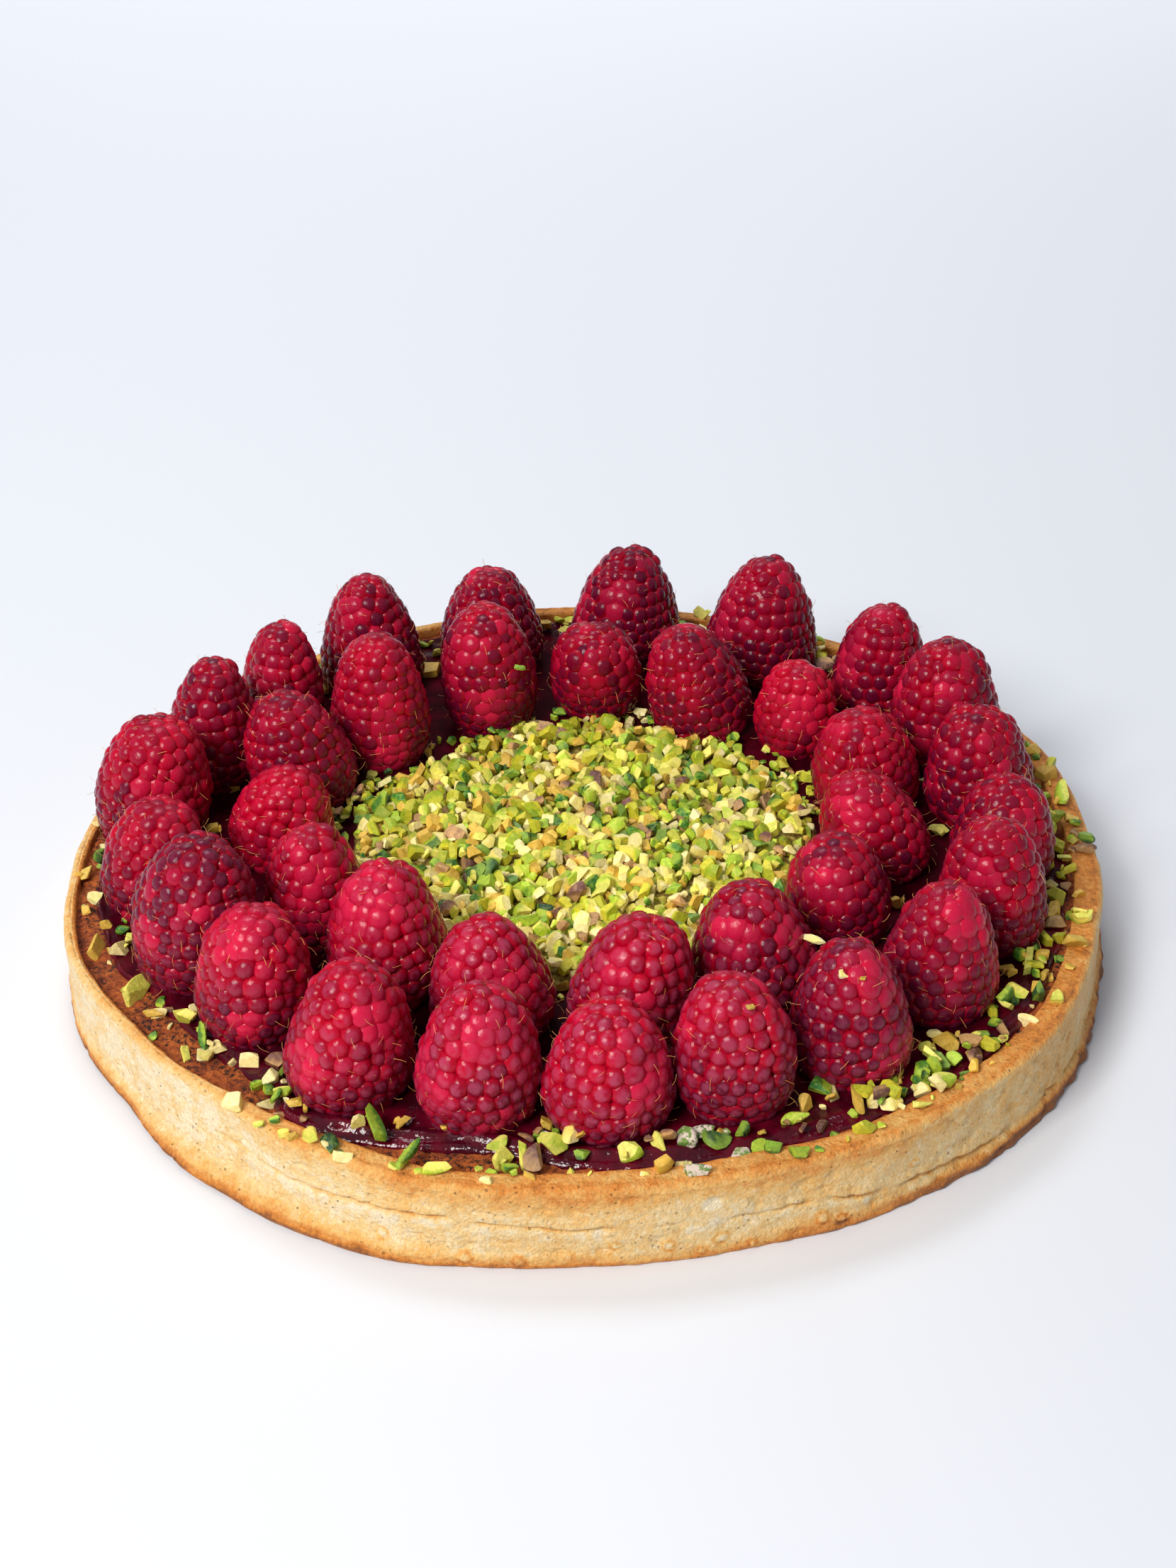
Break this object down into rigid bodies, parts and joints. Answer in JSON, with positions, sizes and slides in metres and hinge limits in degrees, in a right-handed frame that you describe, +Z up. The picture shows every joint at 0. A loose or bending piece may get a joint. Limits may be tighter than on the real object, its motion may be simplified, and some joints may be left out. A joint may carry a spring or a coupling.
{
  "type": "fruit tart",
  "caption": "Whole round tart: shortcrust case filled with almond cream and raspberry jam, ringed with whole raspberries round a bed of chopped pistachios.",
  "frame": {"origin": "centre of the base, on the face it rests on", "axes": "+Z up; -Y is the front of the tart as pictured and +X its right side"},
  "size_m": [0.2213, 0.2212, 0.0469],
  "materials": {
    "crust": "dry baked shortcrust, matt",
    "almond_cream": "browned crumbly almond cream, matt",
    "raspberry_jam": "glossy set jam",
    "pistachio_bed": "chopped nuts, satin",
    "raspberry": "fresh fruit, soft sheen"
  },
  "bodies": {
    "root": {"crust": "crust", "almond_cream": "almond_cream", "raspberry_jam": "raspberry_jam", "pistachio_bed": "pistachio_bed", "outer_berry_01": "raspberry", "outer_berry_02": "raspberry", "outer_berry_03": "raspberry", "outer_berry_04": "raspberry", "outer_berry_05": "raspberry", "outer_berry_06": "raspberry", "outer_berry_07": "raspberry", "outer_berry_08": "raspberry", "outer_berry_09": "raspberry", "outer_berry_10": "raspberry", "outer_berry_11": "raspberry", "outer_berry_12": "raspberry", "outer_berry_13": "raspberry", "outer_berry_14": "raspberry", "outer_berry_15": "raspberry", "outer_berry_16": "raspberry", "outer_berry_17": "raspberry", "outer_berry_18": "raspberry", "outer_berry_19": "raspberry", "outer_berry_20": "raspberry", "outer_berry_21": "raspberry", "inner_berry_01": "raspberry", "inner_berry_02": "raspberry", "inner_berry_03": "raspberry", "inner_berry_04": "raspberry", "inner_berry_05": "raspberry", "inner_berry_06": "raspberry", "inner_berry_07": "raspberry", "inner_berry_08": "raspberry", "inner_berry_09": "raspberry", "inner_berry_10": "raspberry", "inner_berry_11": "raspberry", "inner_berry_12": "raspberry", "inner_berry_13": "raspberry", "inner_berry_14": "raspberry", "inner_berry_15": "raspberry"}
  },
  "joints": []
}
